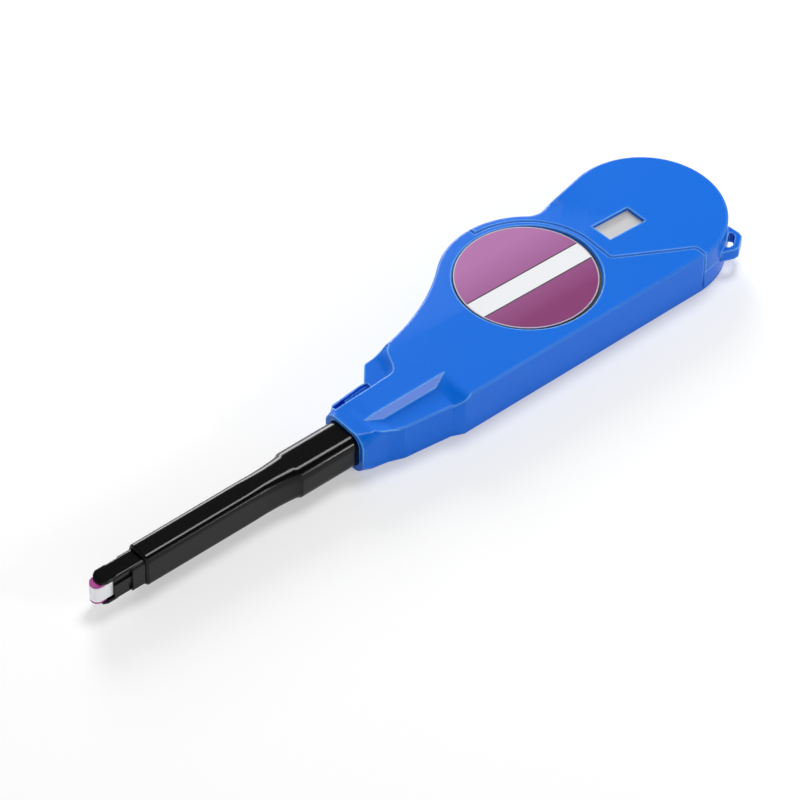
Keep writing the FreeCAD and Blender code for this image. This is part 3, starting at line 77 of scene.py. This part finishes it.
def new_finish(name, colour, roughness, specular=0.5):
    finish = bpy.data.materials.new(name)
    finish.use_nodes = True
    surface = finish.node_tree.nodes["Principled BSDF"]
    surface.inputs["Base Color"].default_value = colour
    surface.inputs["Roughness"].default_value = roughness
    surface.inputs["Specular IOR Level"].default_value = specular
    return finish, surface


def add(finish, kind, **sockets):
    made = finish.node_tree.nodes.new(kind)
    for name, value in sockets.items():
        made.inputs[name.replace("_", " ")].default_value = value
    return made


def join(finish, start, end):
    finish.node_tree.links.new(end, start)


def feed(finish, value, socket):
    if isinstance(value, bpy.types.NodeSocket):
        join(finish, value, socket)
    else:
        socket.default_value = value


print("a middle grey as light:", round(screen(128, 128, 128)[0], 3))

# %% [markdown]
# Five steps turn up again and again: arithmetic on two values, a ramp that turns one
# range of values into another, a blend of two layers, cloudy noise, and picking one axis
# out of a place.  They could be set up by hand each time, but a function for each keeps
# the finishes short enough to read as recipes.

# %% Steps that the finishes share
def reckon(finish, operation, first, second):
    step = finish.node_tree.nodes.new("ShaderNodeMath")
    step.operation = operation
    feed(finish, first, step.inputs[0])
    feed(finish, second, step.inputs[1])
    return step.outputs[0]


def ramp(finish, value, low, high, start=0.0, end=1.0):
    slope = add(finish, "ShaderNodeMapRange", From_Min=low, From_Max=high, To_Min=start, To_Max=end)
    join(finish, value, slope.inputs["Value"])
    return slope.outputs["Result"]


def blend(finish, amount, under, over, kind="RGBA"):
    layer = finish.node_tree.nodes.new("ShaderNodeMix")
    layer.data_type = kind
    feed(finish, amount, layer.inputs["Factor"])
    feed(finish, under, layer.inputs["A"])
    feed(finish, over, layer.inputs["B"])
    return layer.outputs["Result"]


def clouds(finish, place, scale, detail):
    noise = add(finish, "ShaderNodeTexNoise", Scale=scale, Detail=detail)
    join(finish, place, noise.inputs["Vector"])
    return noise.outputs["Fac"]


def one_axis(finish, place, letter):
    split = add(finish, "ShaderNodeSeparateXYZ")
    join(finish, place, split.inputs[0])
    return split.outputs[letter]


print("shared steps:", [step.__name__ for step in (reckon, ramp, blend, clouds, one_axis)])

# %% [markdown]
# All patterns are laid out in the part's own metres, so a grain keeps its real size on
# every piece.  Fine relief goes in as a bump, which tilts the light without adding any
# faces.  The Bevel node bends the light at each corner as a tiny radius would, and that
# is what makes a moulded edge catch a thin bright line; on the blue shell a painted
# highlight strengthens that line.

# %% Places, relief and soft corners
BEVEL_TRIES = 6


def part_place(finish):
    return add(finish, "ShaderNodeTexCoord").outputs["Object"]


def relief(finish, surface, height, strength, depth, bent=None):
    bump = add(finish, "ShaderNodeBump", Strength=strength, Distance=depth)
    join(finish, height, bump.inputs["Height"])
    if bent:
        join(finish, bent, bump.inputs["Normal"])
    join(finish, bump.outputs["Normal"], surface.inputs["Normal"])


def soft_corners(finish, radius):
    bevel = add(finish, "ShaderNodeBevel", Radius=radius)
    bevel.samples = BEVEL_TRIES
    return bevel.outputs["Normal"]


print("light samples for each soft corner:", BEVEL_TRIES)

# %% [markdown]
# Here a lighter blue is painted along the upper edges of the blue plastic as a painted
# highlight, so that they show a thin bright line.  We compare the bent direction of a soft
# corner with the true one: on a face they agree, and where they part ways we mix in the
# lighter blue.  A second ramp, on the height, keeps the painted highlight off the foot of
# the pen.

# %% Painted highlight on upper edges
HIGHLIGHT_REACH = 0.0008
AGREE_ON_FACE = 0.998
AGREE_ON_EDGE = 0.93
HIGHLIGHT_FROM_HEIGHT = 0.003
HIGHLIGHT_FULL_HEIGHT = 0.008


def painted_edge_highlight(finish):
    shape = finish.node_tree.nodes.new("ShaderNodeNewGeometry")
    facing = finish.node_tree.nodes.new("ShaderNodeVectorMath")
    facing.operation = "DOT_PRODUCT"
    join(finish, soft_corners(finish, HIGHLIGHT_REACH), facing.inputs[0])
    join(finish, shape.outputs["Normal"], facing.inputs[1])
    at_edge = ramp(finish, facing.outputs["Value"], AGREE_ON_FACE, AGREE_ON_EDGE)
    height = one_axis(finish, part_place(finish), "Z")
    raised = ramp(finish, height, HIGHLIGHT_FROM_HEIGHT, HIGHLIGHT_FULL_HEIGHT)
    return reckon(finish, "MULTIPLY", at_edge, raised)


print("paler edge in mm:", 1000 * HIGHLIGHT_REACH)

# %% [markdown]
# Moulded plastic is never quite even.  The steel mould leaves a very fine grain, and the
# melt leaves broad, faint changes of shade and gloss.  A picture of a surface could
# carry both, but noise needs no file and never repeats.  The same recipe serves for the
# blue shell, the black nozzle, the magenta head and the white gear, with other values.

# %% Moulded plastic
MELT_SCALE = 38.0
MELT_DETAIL = 3.0
GLOSSIER = 0.01
DULLER = 0.02
GRAIN_DETAIL = 2.0
GRAIN_STRENGTH = 0.35


def moulded(name, face, shade, roughness, grain=0.00025, depth=0.000004,
            specular=0.5, corner=0.00022, painted_highlight=None):
    finish, surface = new_finish(name, face, roughness, specular)
    place = part_place(finish)
    melt = clouds(finish, place, MELT_SCALE, MELT_DETAIL)
    tone = blend(finish, melt, face, shade)
    # Painted highlight: a lighter colour mixed in along the upper edges.
    if painted_highlight:
        tone = blend(finish, painted_edge_highlight(finish), tone, painted_highlight)
    join(finish, tone, surface.inputs["Base Color"])
    gloss = ramp(finish, melt, 0.0, 1.0, roughness - GLOSSIER, roughness + DULLER)
    join(finish, gloss, surface.inputs["Roughness"])
    fine = clouds(finish, place, 1.0 / grain, GRAIN_DETAIL)
    relief(finish, surface, fine, GRAIN_STRENGTH, depth, soft_corners(finish, corner))
    return finish


# The shell's edge colour is a painted highlight along its upper edges.
shell_blue = moulded("shell_blue", face=screen(3, 108, 222), shade=screen(3, 105, 218),
                     roughness=0.25, specular=0.19, corner=0.0004, painted_highlight=screen(112, 180, 250))
nozzle_black = moulded("nozzle_black", face=screen(6, 6, 7), shade=screen(4, 4, 5),
                       roughness=0.15, grain=0.0005, depth=0.0000005, specular=0.24, corner=0.0004)
head_magenta = moulded("head_magenta", face=screen(176, 60, 150), shade=screen(160, 48, 134),
                       roughness=0.28, corner=0.0001)
gear_white = moulded("gear_white", face=screen(232, 232, 226), shade=screen(222, 222, 214),
                     roughness=0.45, corner=0.0001)
print("moulded finishes:", [m.name for m in (shell_blue, nozzle_black, head_magenta, gear_white)])

# %% [markdown]
# The cleaning tape is a very fine woven ribbon.  Single threads would take thousands of
# faces, so two sets of stripes that cross at a slant stand for them, multiplied into
# small raised cells.  The tape stands on edge all along its way: one set of stripes goes
# by its height, and the other by the sum of all three directions, which changes along
# nearly every way that the tape takes.  The threads only lift the surface; the colour
# stays plain.  The felt of the brake washer is made the same way, with coarser threads.
# At scale 1 a stripe by height is 0.31 m wide and stands for two threads, hence the
# factor of 0.16.

# %% Woven tape
STRIPE_SCALE = 0.16
STRIPE_WOBBLE = 0.3
WEAVE_STRENGTH = 0.4
WEAVE_DEPTH = 0.00003
WOVEN_SHEEN = 0.2


def woven(name, colour, thread):
    finish, surface = new_finish(name, colour, roughness=0.82, specular=0.25)
    place = part_place(finish)
    heights = []
    for direction in ("Z", "DIAGONAL"):
        threads = add(finish, "ShaderNodeTexWave", Scale=STRIPE_SCALE / thread, Distortion=STRIPE_WOBBLE)
        threads.bands_direction = direction
        join(finish, place, threads.inputs["Vector"])
        heights.append(threads.outputs["Fac"])
    cells = reckon(finish, "MULTIPLY", *heights)
    relief(finish, surface, cells, WEAVE_STRENGTH, WEAVE_DEPTH)
    surface.inputs["Sheen Weight"].default_value = WOVEN_SHEEN
    return finish


tape_white = woven("tape_white", screen(246, 246, 250), thread=0.00018)
felt_grey = woven("felt_grey", screen(170, 165, 152), thread=0.0005)
print("woven finishes:", tape_white.name, felt_grey.name)

# %% [markdown]
# The label is a round printed film, plum on the side of the long straight wall and paler
# on the far side, with one plain white band across it between two thin dark lines, and a
# pale ring painted round its edge as a highlight.  A picture could be laid over the disc,
# but ramps stay sharp at any distance.  All places are in metres from the middle of the
# disc, and the disc itself tells us where that is.

# %% Size and inks of the label
LABEL_TURN = math.radians(-1.4)
PLUM_FADE = 0.013
BAND_LOW = -0.0016
BAND_HIGH = 0.0048
LINE_WIDTH = 0.0004
INK_BLUR = 0.00006
RIM_WIDTH = 0.0003
RIM_BLUR = 0.00005
PLUM_NEAR = screen(126, 30, 102)
PLUM_FAR = screen(172, 104, 164)
LINE_DARK = screen(40, 36, 44)
BAND_WHITE = screen(232, 233, 236)
# The rim colour is a painted highlight on the film's edge, not an ink.
RIM_HIGHLIGHT = screen(196, 190, 200)
label_low, label_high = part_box("label_disc")
label_centre = (label_low + label_high) / 2
label_radius = (label_high[0] - label_low[0]) / 2
print("label centre in mm:", [round(1000 * v, 2) for v in label_centre])
print("label radius in mm:", round(1000 * label_radius, 3))

# %% [markdown]
# A print has no depth, so it belongs in the colour alone.  We slide and turn the film's
# own X and Y until the band lies level, then read the place across the band: a narrow
# ramp at each border switches from one ink to the next, and each ink is laid over the
# one before it.  A thin clear coat gives the film its shine.

# %% Printed label film
FILM_COAT = 0.12
FILM_COAT_ROUGHNESS = 0.2


def between(finish, value, low, high):
    rise = ramp(finish, value, low - INK_BLUR, low + INK_BLUR)
    fall = ramp(finish, value, high + INK_BLUR, high - INK_BLUR)
    return reckon(finish, "MULTIPLY", rise, fall)


def label_place(finish):
    mapping = add(finish, "ShaderNodeMapping")
    mapping.vector_type = "TEXTURE"
    mapping.inputs["Location"].default_value = label_centre
    mapping.inputs["Rotation"].default_value = (0, 0, LABEL_TURN)
    join(finish, part_place(finish), mapping.inputs["Vector"])
    return mapping.outputs["Vector"]


def rim_highlight_share(finish, place):
    reach = finish.node_tree.nodes.new("ShaderNodeVectorMath")
    reach.operation = "LENGTH"
    join(finish, place, reach.inputs[0])
    border = label_radius - RIM_WIDTH
    return ramp(finish, reach.outputs["Value"], border - RIM_BLUR, border + RIM_BLUR)


def printed_film():
    finish, surface = new_finish("label_film", PLUM_NEAR, roughness=0.32, specular=0.35)
    place = label_place(finish)
    across = one_axis(finish, place, "Y")
    print_and_rim_highlight = blend(finish, ramp(finish, across, PLUM_FADE, -PLUM_FADE), PLUM_NEAR, PLUM_FAR)
    lines = between(finish, across, BAND_LOW - LINE_WIDTH, BAND_HIGH + LINE_WIDTH)
    print_and_rim_highlight = blend(finish, lines, print_and_rim_highlight, LINE_DARK)
    band = between(finish, across, BAND_LOW, BAND_HIGH)
    print_and_rim_highlight = blend(finish, band, print_and_rim_highlight, BAND_WHITE)
    # Last comes the pale rim, a painted highlight on the film's edge.
    print_and_rim_highlight = blend(finish, rim_highlight_share(finish, place), print_and_rim_highlight, RIM_HIGHLIGHT)
    join(finish, print_and_rim_highlight, surface.inputs["Base Color"])
    surface.inputs["Coat Weight"].default_value = FILM_COAT
    surface.inputs["Coat Roughness"].default_value = FILM_COAT_ROUGHNESS
    return finish


label_film = printed_film()
print("label finish:", label_film.name)

# %% [markdown]
# Four small finishes are left.  The window is frosted plastic: it lets some light
# through but scatters it, so what lies behind it shows only as a pale tone.  The pad
# under the label is dense black foam, made as a plastic with a deep grain.  The screws,
# pins and axles are drawn steel with very fine upright lines: noise that is squeezed
# much more across than along.  The springs are the same steel, a little darker.

# %% Window, foam and steel
FROST_CLEARNESS = 0.25
FROST_SCALE = 900.0
FROST_STRENGTH = 0.2
FROST_DEPTH = 0.00002
LINE_SQUEEZE = (9000, 9000, 300)
LINE_STRENGTH = 0.15
LINE_DEPTH = 0.00001


def frosted():
    finish, surface = new_finish("window_frost", screen(226, 225, 223), roughness=0.42, specular=0.4)
    surface.inputs["Transmission Weight"].default_value = FROST_CLEARNESS
    frost = clouds(finish, part_place(finish), FROST_SCALE, detail=2.0)
    relief(finish, surface, frost, FROST_STRENGTH, FROST_DEPTH)
    return finish


def drawn_steel(name, colour, roughness):
    finish, surface = new_finish(name, colour, roughness)
    surface.inputs["Metallic"].default_value = 1.0
    squeeze = add(finish, "ShaderNodeMapping", Scale=LINE_SQUEEZE)
    join(finish, part_place(finish), squeeze.inputs["Vector"])
    lines = clouds(finish, squeeze.outputs["Vector"], scale=1.0, detail=1.0)
    relief(finish, surface, lines, LINE_STRENGTH, LINE_DEPTH)
    return finish


window_frost = frosted()
pad_foam = moulded("pad_foam", face=screen(16, 14, 18), shade=screen(10, 9, 12),
                   roughness=0.6, grain=0.0003, depth=0.00003)
steel_bright = drawn_steel("steel_bright", screen(205, 205, 208), roughness=0.25)
steel_spring = drawn_steel("steel_spring", screen(170, 170, 174), roughness=0.3)
print("small finishes:", window_frost.name, pad_foam.name, steel_bright.name, steel_spring.name)

# %% [markdown]
# Now each part gets its finish.  One table is easier to read and to change than many
# separate lines: the finish stands first, and the parts that wear it follow.

# %% Dress the parts
WEARS = {
    shell_blue: ["main_shell", "base_cover", "rear_shell_upper", "rear_shell_lower"],
    nozzle_black: ["nozzle_upper", "nozzle_lower", "nose_piece", "slide_carriage"],
    head_magenta: ["cleaning_head", "head_rod"],
    gear_white: ["drive_gear", "clutch_spring", "take_up_reel", "supply_reel",
                 "tape_roller_1", "tape_roller_2"],
    tape_white: ["tape_tip", "supply_tape_roll", "used_tape_roll", "tape_feed_run", "tape_return_run"],
    felt_grey: ["brake_washer"],
    label_film: ["label_disc"],
    window_frost: ["window_lens"],
    pad_foam: ["label_pad"],
    steel_bright: ["case_screw_1", "case_screw_2", "case_screw_3", "case_screw_4", "take_up_axle",
                   "supply_axle", "spring_pin", "roller_pin_1", "roller_pin_2"],
    steel_spring: ["return_spring", "head_spring"],
}


def dress(part, finish):
    part.data.materials.clear()
    part.data.materials.append(finish)


for finish, names in WEARS.items():
    for name in names:
        dress(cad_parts[name], finish)
bare = sorted(set(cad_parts) - {name for names in WEARS.values() for name in names})
print("parts without a finish:", bare)

# %% [markdown]
# The pen lies on a plain white table.  White paint under a lamp is never quite white, so
# the table adds a little light of its own, but only for the eye, for reflections and for
# what is seen through the window: the Light Path node keeps that glow from falling on
# the pen.  The shadow stays, since the painted share of the surface still darkens under
# the pen.  The table lies a hair below the pen's flat back, so the two never fight for
# the same height.

# %% White table
TABLE_HALF = 6.0
TABLE_HEIGHT = -0.00002
TABLE_PAINT = (0.97, 0.97, 0.97, 1.0)
GLOW_SHARE = 0.34
GLOW_STRENGTH = 1.14


def table_white():
    finish, paint = new_finish("table_white", TABLE_PAINT, roughness=0.9, specular=0.0)
    nodes = finish.node_tree.nodes
    ray = nodes.new("ShaderNodeLightPath")
    seen = reckon(finish, "MAXIMUM", ray.outputs["Is Camera Ray"], ray.outputs["Is Glossy Ray"])
    seen = reckon(finish, "MAXIMUM", seen, ray.outputs["Is Transmission Ray"])
    share = reckon(finish, "MULTIPLY", seen, GLOW_SHARE)
    glow = add(finish, "ShaderNodeEmission", Strength=GLOW_STRENGTH)
    mix = nodes.new("ShaderNodeMixShader")
    join(finish, share, mix.inputs["Fac"])
    join(finish, paint.outputs["BSDF"], mix.inputs[1])
    join(finish, glow.outputs["Emission"], mix.inputs[2])
    join(finish, mix.outputs["Shader"], nodes["Material Output"].inputs["Surface"])
    return finish


def flat_sheet(name, half, height):
    mesh = bpy.data.meshes.new(name)
    square = ((-half, -half), (half, -half), (half, half), (-half, half))
    mesh.from_pydata([(x, y, height) for x, y in square], [], [(0, 1, 2, 3)])
    sheet = bpy.data.objects.new(name, mesh)
    bpy.context.scene.collection.objects.link(sheet)
    return sheet


table = flat_sheet("table_top", TABLE_HALF, TABLE_HEIGHT)
dress(table, table_white())
print("table height in mm:", round(1000 * table.data.vertices[0].co.z, 3))

# %% [markdown]
# The light is that of a plain studio, made by three round area lamps, since broad lamps
# give soft-edged shadows.  The key lamp hangs high.  The low lamp stands behind the pen,
# lights its far walls and throws the shadow forward.  The strip lamp is the smallest, on
# the side of the straight wall, and shines in the curved slope of the finger hollow.
# None of them is where the flat top would mirror it into the camera, so the top stays
# deep blue.

# %% Lamps
LAMPS = {
    "key_lamp": {"place": (-0.46, -0.21, 1.27), "size": 0.5, "watts": 8.8},
    "low_lamp": {"place": (-0.64, -1.18, 0.56), "size": 0.7, "watts": 13.0},
    "strip_lamp": {"place": (-0.56, 0.96, 0.44), "size": 0.2, "watts": 2.4},
}


def soft_lamp(name, place, size, watts):
    lamp = bpy.data.lights.new(name, "AREA")
    lamp.shape = "DISK"
    lamp.size = size
    lamp.energy = watts
    holder = bpy.data.objects.new(name, lamp)
    holder.location = place
    holder.rotation_euler = (-Vector(place)).to_track_quat("-Z", "Y").to_euler()
    bpy.context.scene.collection.objects.link(holder)


for name, lamp in LAMPS.items():
    soft_lamp(name, **lamp)
print("lamps:", list(LAMPS))

# %% [markdown]
# The room round the table is bright up to about 20 degrees above the floor and dims to a
# dark ceiling above 41 degrees.  The bright walls fill the shadows and the dim ceiling
# keeps the flat top from turning grey.  The camera itself sees plain white instead.

# %% Room
WALL_TOP = 0.35
CEILING_START = 0.66
WALL_LIGHT = 0.88
CEILING_LIGHT = 0.10
SEEN_LIGHT = 1.0

room = bpy.data.worlds.new("pale_room")
bpy.context.scene.world = room
room.use_nodes = True
room_light = room.node_tree.nodes["Background"]
room_light.inputs["Color"].default_value = (1, 1, 1, 1)
direction = add(room, "ShaderNodeTexCoord").outputs["Generated"]
height = one_axis(room, direction, "Z")
walls = ramp(room, height, WALL_TOP, CEILING_START, WALL_LIGHT, CEILING_LIGHT)
eye_ray = add(room, "ShaderNodeLightPath").outputs["Is Camera Ray"]
join(room, blend(room, eye_ray, walls, SEEN_LIGHT, kind="FLOAT"), room_light.inputs["Strength"])
print("room:", room.name, "walls", WALL_LIGHT, "ceiling", CEILING_LIGHT)

# %% [markdown]
# The camera looks down at 45 degrees from the tip's left, and it is rolled by about one
# degree.  A constraint could aim it, but we build its three axes ourselves, because the
# roll then comes in as one plain angle.

# %% Which way the camera looks
HEIGHT_ANGLE = math.radians(45.12)
ROUND_ANGLE = math.radians(41.2)
ROLL = math.radians(1.1)

towards = Vector((
    math.cos(HEIGHT_ANGLE) * math.sin(ROUND_ANGLE),
    math.cos(HEIGHT_ANGLE) * math.cos(ROUND_ANGLE),
    math.sin(HEIGHT_ANGLE),
))
level = (-towards).cross(Vector((0, 0, 1))).normalized()
upright = level.cross(-towards)
side_axis = level * math.cos(ROLL) + upright * math.sin(ROLL)
up_axis = upright * math.cos(ROLL) - level * math.sin(ROLL)
print("towards the camera:", [round(v, 3) for v in towards])

# %% [markdown]
# A long lens from far away keeps the pen's straight lines nearly parallel, as in a
# catalogue.  It could stand closer with a wider lens, but the near end would then look
# too large for the far one.

# %% Camera
DISTANCE = 1.344086
AIM = Vector((0.0, -0.008, 0.0))
SENSOR_MM = 36.0
LENS_MM = 225.0
NEAREST = 0.05
FARTHEST = 50.0

lens = bpy.data.cameras.new("catalogue_lens")
lens.sensor_width = SENSOR_MM
lens.lens = LENS_MM
lens.clip_start = NEAREST
lens.clip_end = FARTHEST
camera = bpy.data.objects.new("catalogue_camera", lens)
turn = Matrix((side_axis, up_axis, towards)).transposed()
camera.matrix_world = Matrix.Translation(AIM + towards * DISTANCE) @ turn.to_4x4()
bpy.context.scene.collection.objects.link(camera)
bpy.context.scene.camera = camera
bpy.context.scene.view_settings.view_transform = "Standard"
print("camera stands at", [round(v, 3) for v in camera.location])
